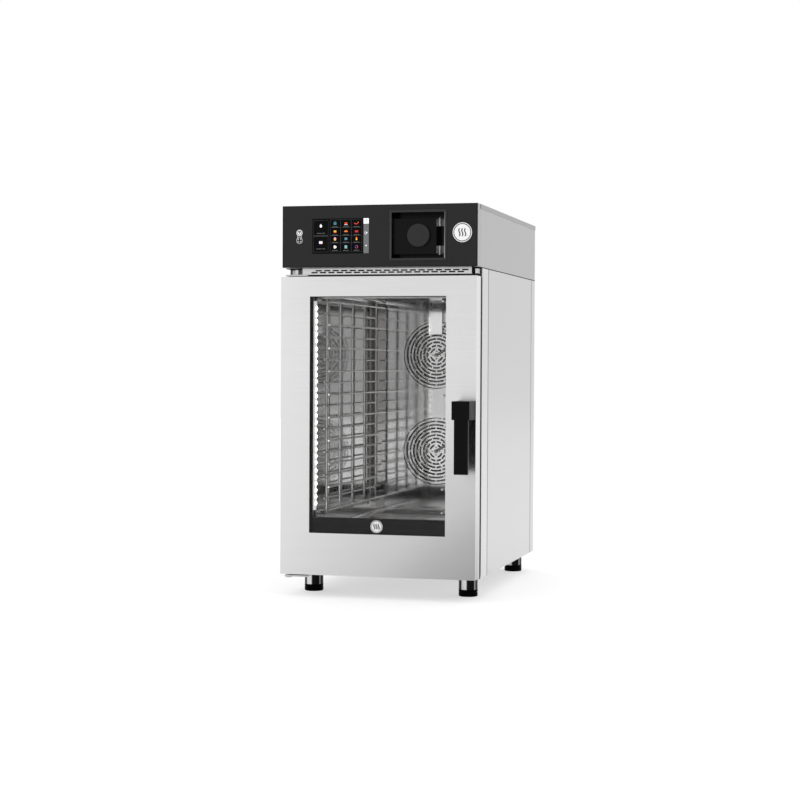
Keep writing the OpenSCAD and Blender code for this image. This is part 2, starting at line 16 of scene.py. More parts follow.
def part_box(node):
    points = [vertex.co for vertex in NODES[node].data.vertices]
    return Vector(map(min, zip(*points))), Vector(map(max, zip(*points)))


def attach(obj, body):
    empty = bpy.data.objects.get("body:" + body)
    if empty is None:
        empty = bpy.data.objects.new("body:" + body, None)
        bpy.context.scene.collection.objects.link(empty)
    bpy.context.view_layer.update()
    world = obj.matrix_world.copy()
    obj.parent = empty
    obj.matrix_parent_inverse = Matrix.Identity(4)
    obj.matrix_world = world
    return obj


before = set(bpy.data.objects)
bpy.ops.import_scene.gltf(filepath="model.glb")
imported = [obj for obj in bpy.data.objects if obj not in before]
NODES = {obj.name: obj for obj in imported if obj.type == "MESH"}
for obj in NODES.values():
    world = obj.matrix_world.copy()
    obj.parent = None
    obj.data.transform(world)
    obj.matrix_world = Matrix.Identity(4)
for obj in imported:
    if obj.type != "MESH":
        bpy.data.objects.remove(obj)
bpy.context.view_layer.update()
MM = 0.001

# Rims of the display and the glass that stay hidden behind their frames
DISPLAY_LIP = 6 * MM
GLASS_LIP = 8 * MM
# Thickness of a printed layer
PLATE = 0.12 * MM

display_low, display_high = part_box("display")
SCREEN_X = (display_low.x + DISPLAY_LIP, display_high.x - DISPLAY_LIP)
SCREEN_Z = (display_low.z + DISPLAY_LIP, display_high.z - DISPLAY_LIP)
SCREEN_Y = display_low.y
glass_low, glass_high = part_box("outer_glass")
WINDOW_X = (glass_low.x + GLASS_LIP, glass_high.x - GLASS_LIP)
WINDOW_Z = (glass_low.z + GLASS_LIP, glass_high.z - GLASS_LIP)
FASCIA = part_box("control_panel")[0]
BADGE = (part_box("badge")[0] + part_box("badge")[1]) / 2
BEHIND_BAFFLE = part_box("fan_baffle")[0].y + 3 * MM


# ---------- camera ----------


def make_camera():
    """The photographer's place, a little to the right and looking slightly down."""
    yaw, pitch, roll = 14.75, -1.15, 0.29
    data = bpy.data.cameras.new("camera")
    data.sensor_width = 36
    data.lens = 81.07
    data.clip_start = 0.1
    data.clip_end = 60
    camera = bpy.data.objects.new("camera", data)
    bpy.context.scene.collection.objects.link(camera)
    place = Matrix.Translation((1.233, -4.839, 0.606))
    heading = Matrix.Rotation(math.radians(yaw), 4, "Z")
    tilt = Matrix.Rotation(math.radians(90 + pitch), 4, "X")
    lean = Matrix.Rotation(math.radians(roll), 4, "Z")
    camera.matrix_world = place @ heading @ tilt @ lean
    bpy.context.scene.camera = camera


make_camera()


# ---------- materials ----------


def srgb(red, green, blue):
    """Linear colour of 8-bit display values."""
    return [((v / 255 + 0.055) / 1.055) ** 2.4 if v > 10 else v / 255 / 12.92
            for v in (red, green, blue)] + [1]


def grey(value):
    return [value, value, value, 1]


def feed(tree, sockets, values):
    """Give each socket its number, or link it to its source."""
    for socket, value in zip(sockets, values):
        if isinstance(value, (int, float)):
            socket.default_value = value
        else:
            tree.links.new(value, socket)


def map_range(tree, source, low, high, start, end):
    """source from start to end becomes low to high, and stays there beyond."""
    node = tree.nodes.new("ShaderNodeMapRange")
    feed(tree, node.inputs[:5], (source, start, end, low, high))
    return node.outputs[0]


class Finish:
    """A node material in the making: one Principled shader, fed in object space."""

    def __init__(self, name, metallic=0.0, **settings):
        self.material = bpy.data.materials.new(name)
        self.material.use_nodes = True
        self.tree = self.material.node_tree
        self.nodes = self.tree.nodes
        self.links = self.tree.links
        self.shader = self.nodes["Principled BSDF"]
        self.shader.inputs["Metallic"].default_value = metallic
        for socket, value in settings.items():
            self.shader.inputs[socket.replace("_", " ")].default_value = value
        self.space = self.nodes.new("ShaderNodeTexCoord").outputs["Object"]

    def place(self, axis):
        """The position along one axis of the part's own space."""
        split = self.nodes.new("ShaderNodeSeparateXYZ")
        self.links.new(self.space, split.inputs[0])
        return split.outputs[axis]

    def facing(self, direction):
        """1 where the surface faces direction, 0 where it faces away."""
        normal = self.nodes.new("ShaderNodeNewGeometry").outputs["Normal"]
        dot = self.nodes.new("ShaderNodeVectorMath")
        dot.operation = "DOT_PRODUCT"
        dot.inputs[1].default_value = direction
        self.links.new(normal, dot.inputs[0])
        return self.span(dot.outputs["Value"], 0, 1, -1, 1)

    def stops(self, source, *places):
        """Colour ramp through (place, colour) or (place, brightness) pairs."""
        node = self.nodes.new("ShaderNodeValToRGB")
        ramp = node.color_ramp
        while len(ramp.elements) < len(places):
            ramp.elements.new(0.5)
        for stop, (place, value) in zip(ramp.elements, places):
            stop.position = place
            stop.color = value if isinstance(value, list) else grey(value)
        self.links.new(source, node.inputs[0])
        return node.outputs["Color"]

    def tint(self, colour, other):
        """Two colours multiplied into the base colour."""
        mix = self.nodes.new("ShaderNodeMix")
        mix.data_type = "RGBA"
        mix.blend_type = "MULTIPLY"
        mix.inputs["Factor"].default_value = 1
        self.links.new(colour, mix.inputs["A"])
        self.links.new(other, mix.inputs["B"])
        self.links.new(mix.outputs["Result"], self.shader.inputs["Base Color"])

    def noise(self, scale, stretch=(1, 1, 1), detail=3.0, distortion=0.0):
        """Noise with scale cells a metre, fewer along an axis with a small stretch."""
        mapping = self.nodes.new("ShaderNodeMapping")
        mapping.inputs["Scale"].default_value = [scale * s for s in stretch]
        self.links.new(self.space, mapping.inputs["Vector"])
        noise = self.nodes.new("ShaderNodeTexNoise")
        noise.inputs["Scale"].default_value = 1
        noise.inputs["Detail"].default_value = detail
        noise.inputs["Distortion"].default_value = distortion
        self.links.new(mapping.outputs["Vector"], noise.inputs["Vector"])
        return noise.outputs["Fac"]

    def math(self, operation, a, b):
        node = self.nodes.new("ShaderNodeMath")
        node.operation = operation
        feed(self.tree, node.inputs, (a, b))
        return node.outputs[0]

    def blend(self, a, b, share):
        """a and b mixed, with share of b."""
        return self.math("ADD", self.math("MULTIPLY", a, 1 - share),
                         self.math("MULTIPLY", b, share))

    def span(self, source, low, high, start=0.3, end=0.7):
        return map_range(self.tree, source, low, high, start, end)

    def ramp(self, source, dark, light, start=0.3, end=0.7):
        return self.stops(source, (start, dark), (end, light))

    def colour(self, source, dark, light, start=0.3, end=0.7):
        self.links.new(self.ramp(source, dark, light, start, end),
                       self.shader.inputs["Base Color"])

    def roughness(self, source, low, high):
        self.links.new(self.span(source, low, high), self.shader.inputs["Roughness"])

    def bump(self, source, depth):
        """source pushes the surface out by up to depth."""
        node = self.nodes.new("ShaderNodeBump")
        node.inputs["Strength"].default_value = 1
        node.inputs["Distance"].default_value = depth
        self.links.new(source, node.inputs["Height"])
        self.links.new(node.outputs["Normal"], self.shader.inputs["Normal"])


def along(axis, squeeze=0.012):
    """Stretch for streaks that run along one axis."""
    return [squeeze if i == axis else 1 for i in range(3)]


def brushed_steel(name, grain, shade, rough, depth=0.002 * MM):
    """Stainless sheet with streaks along the grain axis in tone, gloss and relief."""
    f = Finish(name, metallic=1.0)
    fine = f.noise(1300, along(grain), detail=2)
    coarse = f.noise(170, along(grain, 0.02), detail=4)
    cloud = f.noise(3, detail=2)
    streak = f.blend(fine, coarse, 0.35)
    f.colour(f.blend(coarse, cloud, 0.5), grey(shade * 0.965),
             [shade * 1.01, shade * 1.01, shade * 1.005, 1])
    f.roughness(streak, *rough)
    f.bump(streak, depth)
    return f.material


def door_sheet():
    """The door's horizontally brushed sheet, with painted shade that darkens it towards
    the lower right corner.
    """
    f = Finish("door_steel", metallic=1.0, Anisotropic=0.8, Anisotropic_Rotation=0.25)
    fine = f.noise(1300, along(0), detail=2)
    coarse = f.noise(260, along(0, 0.015), detail=4)
    streak = f.blend(fine, coarse, 0.35)
    # painted shade: the tone falls towards the bottom and the right, darkest at the
    # lower right corner
    height = f.span(f.place("Z"), 1, 0, 0.02, 0.62)
    side = f.span(f.place("X"), 0, 1, -0.30, 0.26)
    corner = f.blend(height, f.math("MULTIPLY", height, side), 0.75)
    f.tint(f.ramp(coarse, grey(0.955), grey(0.99)),
           f.stops(corner, (0.0, 0.74), (0.25, 0.68), (0.6, 0.54), (0.75, 0.43),
                   (1.0, 0.32)))
    f.roughness(streak, 0.18, 0.24)
    f.bump(streak, 0.002 * MM)
    return f.material


def side_sheet():
    """Side panel: satin sheet whose folded ends fall into shade at the seams."""
    f = Finish("side_steel", metallic=1.0)
    low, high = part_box("side_panel_right")
    fine = f.noise(1300, along(1), detail=2)
    cloud = f.noise(2, detail=1)
    run = f.span(f.place("Y"), 0, 1, low.y, high.y)
    shade = 4.5 * MM / (high.y - low.y)
    f.tint(f.ramp(f.blend(fine, cloud, 0.8), 0.565, 0.575),
           f.stops(run, (0.0, 0.18), (shade, 0.22), (shade + 0.003, 1.0),
                   (0.994 - shade, 1.0), (0.997 - shade, 0.3), (1.0, 0.3)))
    f.roughness(fine, 0.28, 0.30)
    f.bump(fine, 0.0003 * MM)
    return f.material


def polished_steel(name, shade, rough, wave, painted_shade_from=9.0, floor=0.0):
    """Bright sheet: soft waves, wipe marks, and painted shade that darkens it beyond a
    given depth, where the space behind the baffle lies in shade.

    Faces that look up are duller and less metallic by up to floor.
    """
    f = Finish(name, metallic=1.0)
    wipe = f.noise(260, along(2, 0.05), detail=4, distortion=0.4)
    haze = f.noise(7, detail=4)
    # painted shade: darker beyond the given depth, behind the baffle
    depth = f.span(f.place("Y"), 0, 1, painted_shade_from, painted_shade_from + 4 * MM)
    f.tint(f.ramp(f.blend(wipe, haze, 0.6), grey(shade * 0.93), grey(shade)),
           f.ramp(depth, grey(1.0), [0.62, 0.61, 0.60, 1], 0.0, 1.0))
    upward = f.span(f.facing((0, 0, 1)), 0, 1, 0.8, 1.0)
    dull = f.span(f.noise(22, along(0, 0.15), detail=3), floor * 0.4, floor)
    gloss = f.span(f.blend(wipe, haze, 0.4), *rough)
    f.links.new(f.math("ADD", gloss, f.math("MULTIPLY", upward, dull)),
                f.shader.inputs["Roughness"])
    f.links.new(f.math("SUBTRACT", 1.0, f.math("MULTIPLY", dull, upward)),
                f.shader.inputs["Metallic"])
    f.bump(f.blend(f.noise(9, detail=1), wipe, 0.002), wave)
    return f.material


def chrome_wire(name, shade, rough):
    """Electropolished wire with heat tint and drawing marks."""
    f = Finish(name, metallic=1.0)
    tint = f.noise(30, detail=3)
    marks = f.noise(900, along(1, 0.05), detail=2)
    f.colour(tint, [shade * 0.86, shade * 0.84, shade * 0.8, 1], grey(shade))
    f.roughness(marks, *rough)
    f.bump(marks, 0.004 * MM)
    return f.material


def moulded(name, dark, light, rough, grain=2200, depth=0.015 * MM, **settings):
    """Moulded or coated black surface with a fine even texture."""
    f = Finish(name, **settings)
    fine = f.noise(grain, detail=2)
    wear = f.noise(24, detail=4)
    f.colour(f.blend(fine, wear, 0.6), dark, light)
    f.roughness(f.blend(fine, wear, 0.5), *rough)
    f.bump(fine, depth)
    return f.material


def painted_panel():
    """Satin charcoal fascia: powder grain and slow changes of gloss."""
    f = Finish("panel_paint", Specular_IOR_Level=0.2)
    fine = f.noise(1500, detail=3)
    slow = f.noise(6, detail=3)
    f.colour(f.blend(fine, slow, 0.5), grey(0.0105), grey(0.0135))
    f.roughness(f.blend(fine, slow, 0.5), 0.42, 0.55)
    f.bump(fine, 0.006 * MM)
    return f.material


def screen_glass():
    """Black cover glass of the display, with faint finger marks."""
    f = Finish("screen_glass", Specular_IOR_Level=0.05)
    marks = f.noise(45, (1, 1, 0.6), detail=5, distortion=0.8)
    f.colour(marks, grey(0.0015), grey(0.003))
    f.roughness(marks, 0.12, 0.25)
    f.bump(f.noise(14, detail=1), 0.01 * MM)
    return f.material


def pane(name):
    """Clear door glass: see-through, with a reflection that grows at a slant."""
    f = Finish(name)
    f.nodes.remove(f.shader)
    smear = f.noise(9, (1, 1, 2), detail=5, distortion=0.6)
    clear = f.nodes.new("ShaderNodeBsdfTransparent")
    f.links.new(f.ramp(smear, grey(0.982), grey(0.99)), clear.inputs["Color"])
    shine = f.nodes.new("ShaderNodeBsdfGlossy")
    shine.inputs["Color"].default_value = grey(0.9)
    f.links.new(f.span(smear, 0.0, 0.02), shine.inputs["Roughness"])
    slant = f.nodes.new("ShaderNodeFresnel")
    slant.inputs["IOR"].default_value = 1.14
    mix = f.nodes.new("ShaderNodeMixShader")
    f.links.new(slant.outputs[0], mix.inputs[0])
    f.links.new(clear.outputs[0], mix.inputs[1])
    f.links.new(shine.outputs[0], mix.inputs[2])
    f.links.new(mix.outputs[0], f.nodes["Material Output"].inputs["Surface"])
    return f.material


def glowing(name, tone, strength):
    """A lit surface whose brightness wanders a little."""
    f = Finish(name, Emission_Strength=strength)
    drift = f.noise(60, detail=2)
    dim = [v * 0.86 for v in tone[:3]] + [1]
    f.links.new(f.ramp(drift, dim, tone), f.shader.inputs["Emission Color"])
    f.colour(drift, dim, tone)
    f.roughness(drift, 0.3, 0.45)
    return f.material


def printed(name, tone, rough=(0.35, 0.5)):
    """Screen-printed ink with uneven cover."""
    f = Finish(name)
    cover = f.noise(700, detail=4)
    f.colour(cover, [v * 0.85 for v in tone[:3]] + [1], tone)
    f.roughness(cover, *rough)
    f.bump(cover, 0.006 * MM)
    return f.material


def mineral_wool():
    f = Finish("mineral_wool")
    fibre = f.noise(500, (1, 0.2, 1), detail=5, distortion=1.5)
    f.colour(fibre, srgb(150, 128, 70), srgb(226, 208, 150))
    f.roughness(fibre, 0.85, 1.0)
    f.bump(fibre, 1.5 * MM)
    return f.material


def circuit():
    """Green board with copper tracks showing through the lacquer."""
    f = Finish("circuit", Coat_Weight=0.4, Coat_Roughness=0.2)
    tracks = f.noise(260, (1, 1, 0.1), detail=1)
    rows = f.noise(260, (0.1, 1, 1), detail=1)
    f.colour(f.math("MAXIMUM", tracks, rows), srgb(8, 52, 26), srgb(40, 120, 60),
             0.56, 0.6)
    f.roughness(tracks, 0.3, 0.5)
    f.bump(tracks, 0.05 * MM)
    return f.material


def turned_metal(name, dark, light, rough, scale=400, metallic=1.0):
    """Turned or cast metal: dull patches and fine tool marks."""
    f = Finish(name, metallic)
    patch = f.noise(scale / 10, detail=5)
    marks = f.noise(scale * 3, along(0, 0.2), detail=2)
    f.colour(patch, dark, light)
    f.roughness(f.blend(patch, marks, 0.5), *rough)
    f.bump(f.blend(patch, marks, 0.3), 0.02 * MM)
    return f.material


def leg_tube():
    """Polished tube with painted reflections: dark flanks that carry a broad and a
    narrow painted streak of light.
    """
    f = Finish("leg_chrome", metallic=1.0)
    turn = f.facing((0.967, 0.255, 0))
    marks = f.noise(900, along(2, 0.05), detail=2)
    # painted reflection: bright and dark bands set by which way the surface faces
    painted_reflection_streaks = f.stops(turn, (0.0, 0.02), (0.12, 0.02), (0.15, 0.60), (0.36, 0.66),
                      (0.42, 0.008), (0.78, 0.006), (0.83, 0.35), (0.88, 0.01),
                      (1.0, 0.03))
    f.tint(painted_reflection_streaks, f.ramp(marks, grey(0.9), grey(1.0)))
    f.roughness(marks, 0.1, 0.18)
    f.bump(marks, 0.003 * MM)
    return f.material


def front_sheet():
    """Brushed front frame, near-black outside the door's gasket: painted shade for the
    gap around the door.
    """
    f = Finish("front_frame_steel_painted_shade")
    streak = f.noise(600, along(0), detail=3)
    gasket_half = 0.216
    gasket_top = 0.8285
    flank = 0.257
    across = f.math("ABSOLUTE", f.place("X"), 0)
    out = f.math("MAXIMUM", f.span(across, 0, 1, gasket_half, gasket_half + MM),
                 f.span(f.place("Z"), 0, 1, gasket_top, gasket_top + MM))
    # painted shade: outside the gasket, short of the flanks, the frame turns near-black
    # and non-metallic
    dark = f.math("MULTIPLY", out, f.span(across, 1, 0, flank, flank + 0.8 * MM))
    f.tint(f.ramp(streak, grey(0.62), grey(0.68)),
           f.ramp(dark, grey(1.0), grey(0.008), 0.0, 1.0))
    f.links.new(f.span(dark, 1, 0, 0, 1), f.shader.inputs["Metallic"])
    f.roughness(streak, 0.28, 0.38)
    f.bump(streak, 0.002 * MM)
    return f.material


def panel_rim():
    """Steel frame of the control panel, its front lip in the panel's black."""
    f = Finish("panel_rim", Specular_IOR_Level=0.2)
    streak = f.noise(600, along(2), detail=3)
    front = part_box("panel_frame")[0].y
    lip = f.span(f.place("Y"), 1, 0, front + 2.4 * MM, front + 2.6 * MM)
    f.tint(f.ramp(streak, grey(0.41), grey(0.43)),
           f.ramp(lip, grey(1.0), grey(0.03), 0.0, 1.0))
    f.links.new(f.math("SUBTRACT", 1.0, lip), f.shader.inputs["Metallic"])
    f.roughness(streak, 0.3, 0.4)
    f.bump(streak, 0.002 * MM)
    return f.material


def levelling_foot():
    """Black rubber-plastic pad, and above it the bare threaded stem."""
    f = Finish("levelling_foot", Specular_IOR_Level=0.02)
    pad = 18.2 * MM
    metal = f.span(f.place("Z"), 0, 1, pad, pad + 0.4 * MM)
    thread = f.nodes.new("ShaderNodeTexWave")
    thread.bands_direction = "Z"
    thread.inputs["Scale"].default_value = 105
    f.links.new(f.space, thread.inputs["Vector"])
    grain = f.noise(1500, detail=2)
    f.colour(f.math("ADD", f.math("MULTIPLY", grain, 0.2), metal), 0.0015, 0.5,
             0.15, 1.0)
    f.links.new(metal, f.shader.inputs["Metallic"])
    f.roughness(grain, 0.32, 0.46)
    f.bump(f.blend(grain, f.math("MULTIPLY", thread.outputs["Fac"], metal), 0.9),
           0.25 * MM)
    return f.material


def recess_sheet():
    """Gloss black recess, a shade lighter over the height of the knob's plate."""
    f = Finish("recess_black", Specular_IOR_Level=0.10)
    low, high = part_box("niche_tray")
    grain = f.noise(900, detail=2)
    lower = f.span(f.place("Z"), 0, 1, low.z + 12.9 * MM, low.z + 13.1 * MM)
    upper = f.span(f.place("Z"), 1, 0, high.z - 17.1 * MM, high.z - 16.9 * MM)
    f.tint(f.ramp(grain, 0.85, 1.0),
           f.ramp(f.math("MULTIPLY", lower, upper), 0.0008, 0.0042, 0.0, 1.0))
    f.roughness(grain, 0.10, 0.16)
    f.bump(grain, 0.002 * MM)
    return f.material


def clothe(material, *names):
    """Give a material to carried-over nodes."""
    for name in names:
        data = NODES[name].data
        data.materials.clear()
        data.materials.append(material)


door_steel = door_sheet()
frame_steel = brushed_steel("frame_steel", 0, 0.66, (0.28, 0.36))
housing_steel = brushed_steel("housing_steel", 1, 0.42, (0.28, 0.32), 0.0008 * MM)
cover_steel = brushed_steel("cover_steel", 1, 0.31, (0.28, 0.32), 0.0008 * MM)
rear_steel = brushed_steel("rear_steel", 2, 0.59, (0.28, 0.34), 0.0008 * MM)
zinc_steel = turned_metal("zinc_steel", grey(0.42), grey(0.55), (0.32, 0.5))
# BEHIND_BAFFLE is where the painted shade behind the baffle starts
cavity_steel = polished_steel("cavity_steel", 0.86, (0.04, 0.09), 0.25 * MM,
                              BEHIND_BAFFLE, 0.30)
baffle_steel = polished_steel("baffle_steel", 0.62, (0.05, 0.10), 0.12 * MM)
tinted_steel = turned_metal("tinted_steel", grey(0.22), [0.32, 0.31, 0.30, 1],
                            (0.3, 0.5))
wire = chrome_wire("wire_chrome", 0.74, (0.16, 0.26))
dull_wire = chrome_wire("dull_wire", 0.34, (0.2, 0.3))
trim_chrome = turned_metal("trim_chrome", grey(0.9), grey(1.0), (0.25, 0.35),
                           metallic=0.5)
bright_chrome = chrome_wire("bright_chrome", 0.60, (0.08, 0.14))
handle_black = moulded("handle_black", grey(0.0022), grey(0.0036), (0.36, 0.46),
                       Specular_IOR_Level=0.06)
bezel_black = moulded("bezel_black", grey(0.020), grey(0.026), (0.25, 0.35),
                      Specular_IOR_Level=0.25)
knob_black = moulded("knob_black", grey(0.016), grey(0.022), (0.5, 0.62),
                     grain=1600, depth=0.03 * MM, Specular_IOR_Level=0.2)
plain_black = moulded("plain_black", grey(0.004), grey(0.008), (0.4, 0.6),
                      Specular_IOR_Level=0.2)
rubber = moulded("seal_rubber", grey(0.003), grey(0.006), (0.55, 0.75),
                 grain=900, depth=0.04 * MM, Specular_IOR_Level=0.1)
badge_enamel = printed("badge_enamel", grey(0.90), (0.12, 0.2))
lit_cover = glowing("lit_cover", [1.0, 0.99, 0.97, 1], 0.35)
brass = turned_metal("brass", srgb(150, 112, 52), srgb(205, 168, 96), (0.25, 0.42))
cast_alloy = turned_metal("cast_alloy", grey(0.38), grey(0.5), (0.45, 0.6), 700)
heater_skin = turned_metal("heater_skin", srgb(74, 66, 62), srgb(120, 104, 92),
                           (0.35, 0.55))
door_pane = pane("door_pane")
lamp_glow = glowing("lamp_glow", [1.0, 0.99, 0.96, 1], 3.0)
board_green = circuit()

clothe(door_steel, "door_skin")
clothe(frame_steel, "door_inner_frame", "vent_strip")
clothe(panel_rim(), "panel_frame")
clothe(front_sheet(), "front_frame")
clothe(side_sheet(), "side_panel_left", "side_panel_right")
clothe(housing_steel, "upper_housing")
clothe(cover_steel, "top_cover")
clothe(rear_steel, "rear_panel")
clothe(zinc_steel, "base_pan", "hinge_lower", "hinge_upper", "drain_pipe",
       "exhaust_duct", "vent_flap")
clothe(cavity_steel, "cavity_shell", "vent_chute", "floor_filter")
clothe(tinted_steel, "fan_wheel_upper", "fan_wheel_lower")
clothe(baffle_steel, "fan_baffle")
clothe(wire, "rack_left", "rack_right")
clothe(dull_wire, "injector_tubes")
clothe(leg_tube(), "leg_sleeves")
clothe(bright_chrome, "latch_strike", "cover_screws", "latch_spindle", "knob_shaft")
clothe(painted_panel(), "control_panel")
clothe(screen_glass(), "display")
clothe(badge_enamel, "badge")
clothe(lit_cover, "led_housing")
clothe(bezel_black, "niche_bezel")
clothe(recess_sheet(), "niche_tray")
clothe(knob_black, "knob")
clothe(handle_black, "handle_lever", "handle_rosette")
clothe(plain_black, "cable_gland", "cooling_fan_frame", "cooling_fan_rotor")
clothe(rubber, "gasket")
clothe(levelling_foot(), "foot_front_left", "foot_front_right", "foot_rear_left",
       "foot_rear_right")
clothe(board_green, "encoder", "control_board")
clothe(mineral_wool(), "insulation")
clothe(heater_skin, "heater_upper", "heater_lower")
clothe(cast_alloy, "motor_upper", "motor_lower")
clothe(brass, "water_inlets", "ground_stud", "door_bushes")
clothe(door_pane, "outer_glass", "inner_glass")
clothe(lamp_glow, "led_lenses")


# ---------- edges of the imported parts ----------


def soften(width, *names):
    """Round sharp edges with modifiers, so that they catch the light."""
    for name in names:
        obj = NODES[name]
        weld = obj.modifiers.new("weld", "WELD")
        weld.merge_threshold = 0.01 * MM
        flat = obj.modifiers.new("flat", "DECIMATE")
        flat.decimate_type = "DISSOLVE"
        flat.angle_limit = math.radians(0.5)
        bevel = obj.modifiers.new("bevel", "BEVEL")
        bevel.width = width
        bevel.segments = 2
        bevel.limit_method = "ANGLE"
        bevel.angle_limit = math.radians(40)
        bevel.harden_normals = False
        normals = obj.modifiers.new("normals", "WEIGHTED_NORMAL")
        normals.keep_sharp = False


soften(0.6 * MM, "door_skin", "panel_frame", "front_frame")
soften(0.5 * MM, "side_panel_left", "side_panel_right", "upper_housing", "top_cover")
soften(1.0 * MM, "handle_lever", "gasket", "door_inner_frame", "led_housing")
soften(0.4 * MM, "control_panel", "niche_bezel", "badge", "vent_chute", "display")
soften(0.8 * MM, "hinge_lower", "hinge_upper")


# ---------- thin printed and lit pieces ----------


def arc(x, z, radius, start=0, end=360, count=24):
    """Points on a circle in the x-z plane, counter-clockwise from start to end."""
    full = end - start >= 360
    steps = count if full else count - 1
    angles = [math.radians(start + (end - start) * i / steps) for i in range(count)]
    return [(x + radius * math.cos(a), z + radius * math.sin(a)) for a in angles]


def swing(start, end):
    """Nine angles evenly from start to end, in degrees."""
    return [math.radians(start + (end - start) * i / 8) for i in range(9)]


class Print:
    """Thin plates in the x-z plane, each in its own ink, gathered into one mesh."""

    def __init__(self, front, thick=PLATE):
        self.mesh = bmesh.new()
        self.depths = (front, front + thick)
        self.inks = []

    def band(self, outer, inner, ink, closed=False):
        """The strip between two rows of points."""
        if ink not in self.inks:
            self.inks.append(ink)
        near, far = [[[self.mesh.verts.new((x, y, z)) for x, z in row]
                      for row in (outer, inner)] for y in self.depths]
        count = len(outer)
        quads = []
        for i in range(count if closed else count - 1):
            j = (i + 1) % count
            quads.append((near[0][i], near[0][j], near[1][j], near[1][i]))
            quads.append((far[0][j], far[0][i], far[1][i], far[1][j]))
            for row in (0, 1):
                quads.append((near[row][j], near[row][i], far[row][i], far[row][j]))
        if not closed:
            for i in (0, count - 1):
                quads.append((near[0][i], near[1][i], far[1][i], far[0][i]))
        for quad in quads:
            self.mesh.faces.new(quad).material_index = self.inks.index(ink)

    def shape(self, points, ink):
        """A closed outline, counter-clockwise."""
        if ink not in self.inks:
            self.inks.append(ink)
        near, far = [[self.mesh.verts.new((x, y, z)) for x, z in points]
                     for y in self.depths]
        faces = [self.mesh.faces.new(near), self.mesh.faces.new(far[::-1])]
        for i, a in enumerate(near):
            j = (i + 1) % len(near)
            faces.append(self.mesh.faces.new((near[j], a, far[i], far[j])))
        for face in faces:
            face.material_index = self.inks.index(ink)

    def ring(self, x, z, inner, outer, ink, start=0, end=360, count=28):
        self.band(arc(x, z, outer, start, end, count),
                  arc(x, z, inner, start, end, count), ink, end - start >= 360)

    def disc(self, x, z, radius, ink, count=20):
        self.shape(arc(x, z, radius, count=count), ink)

    def block(self, x, z, ink, corner=0.0):
        """A rectangle between two points on each axis, with round corners if asked."""
        if corner == 0:
            points = [(x[0], z[0]), (x[1], z[0]), (x[1], z[1]), (x[0], z[1])]
        else:
            points = []
            for turn, cx, cz in ((180, x[0] + corner, z[0] + corner),
                                 (270, x[1] - corner, z[0] + corner),
                                 (0, x[1] - corner, z[1] - corner),
                                 (90, x[0] + corner, z[1] - corner)):
                points += arc(cx, cz, corner, turn, turn + 90, 5)
        self.shape(points, ink)

    def piece(self, name, body):
        bmesh.ops.recalc_face_normals(self.mesh, faces=self.mesh.faces)
        add_piece(name, mesh_data(name, self.mesh, *self.inks), body)


def mesh_data(name, mesh, *materials):
    """Turn a bmesh into mesh data with its materials."""
    data = bpy.data.meshes.new(name)
    mesh.to_mesh(data)
    mesh.free()
    for material in materials:
        data.materials.append(material)
    return data


def add_object(name, data):
    obj = bpy.data.objects.new(name, data)
    bpy.context.scene.collection.objects.link(obj)
    return obj


def add_piece(name, data, body):
    """A new visual piece that rides on a body of the frame."""
    obj = add_object(name, data)
    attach(obj, body)


LIT = {
    "white": glowing("lit_white", srgb(222, 225, 228), 0.6),
    "grey": glowing("lit_grey", srgb(94, 96, 98), 0.3),
    "line": glowing("lit_line", srgb(80, 82, 86), 0.35),
    "edge": glowing("lit_edge", srgb(58, 60, 62), 0.25),
    "teal": glowing("lit_teal", srgb(44, 104, 114), 0.6),
    "pale_teal": glowing("lit_pale_teal", srgb(130, 180, 184), 0.65),
    "red": glowing("lit_red", srgb(204, 40, 30), 0.6),
    "orange": glowing("lit_orange", srgb(226, 112, 34), 0.62),
    "yellow": glowing("lit_yellow", srgb(232, 188, 66), 0.65),
    "pink": glowing("lit_pink", srgb(214, 128, 178), 0.65),
    "blue": glowing("lit_blue", srgb(44, 62, 150), 0.7),
}


def draw_pot(p, x, z, u):
    p.block((x - 3 * u, x + 3 * u), (z - 3 * u, z + 1.2 * u), LIT["teal"], u)
    p.block((x - 3.6 * u, x + 3.6 * u), (z + 1.7 * u, z + 2.5 * u), LIT["teal"])
    p.disc(x, z + 3.2 * u, 0.6 * u, LIT["pale_teal"], 10)


def draw_roast(p, x, z, u):
    p.block((x - 3.6 * u, x + 3.6 * u), (z - 3.2 * u, z - 2.4 * u), LIT["white"])
    p.shape(arc(x, z - 2 * u, 3 * u, 0, 180, 12), LIT["red"])
    p.ring(x, z - 2 * u, 3.3 * u, 3.9 * u, LIT["orange"], 30, 150, 10)


def draw_chilli(p, x, z, u):
    p.band(arc(x - u, z + 3 * u, 5.4 * u, 215, 330, 12),
           arc(x - 0.4 * u, z + 3.4 * u, 4.2 * u, 215, 330, 12), LIT["red"])
    p.disc(x + 3.4 * u, z + 1.6 * u, 0.9 * u, LIT["orange"], 10)


def draw_cake(p, x, z, u):
    p.block((x - 2.8 * u, x + 2.8 * u), (z - 2.4 * u, z - 0.4 * u), LIT["orange"])
    p.block((x - 2.8 * u, x + 2.8 * u), (z, z + 1.8 * u), LIT["yellow"])


def draw_croissant(p, x, z, u):
    for i in range(4):
        start = 20 + 36 * i
        p.ring(x, z - 2.2 * u, 1.6 * u, 4.4 * u, LIT["orange"], start, start + 30, 6)


def draw_sausages(p, x, z, u):
    for level in (-1.2, 0.8):
        p.block((x - 3.6 * u, x + 3.6 * u),
                (z + (level - 0.7) * u, z + (level + 0.7) * u), LIT["red"], 0.65 * u)


